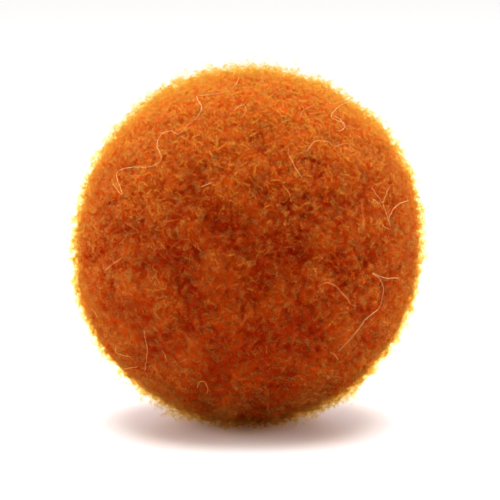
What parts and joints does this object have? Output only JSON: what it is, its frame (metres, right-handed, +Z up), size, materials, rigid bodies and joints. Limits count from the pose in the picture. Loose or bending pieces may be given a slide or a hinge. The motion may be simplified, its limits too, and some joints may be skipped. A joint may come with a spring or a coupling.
{
  "type": "pom pom",
  "caption": "Dense round craft pom pom of short orange yarn pile, trimmed to a slightly lumpy ball that rests on a small flat spot.",
  "frame": {"origin": "on the surface that the pom pom rests on, in the middle of the level tip of its lowest lock", "axes": "+Z up from the flat spot through the ball's middle, -Y to the front, +X to the side where the ball is fullest"},
  "size_m": [0.0151, 0.0152, 0.0153],
  "materials": {
    "orange_yarn": "matte"
  },
  "bodies": {
    "root": {"pom_pom": "orange_yarn"}
  },
  "joints": []
}
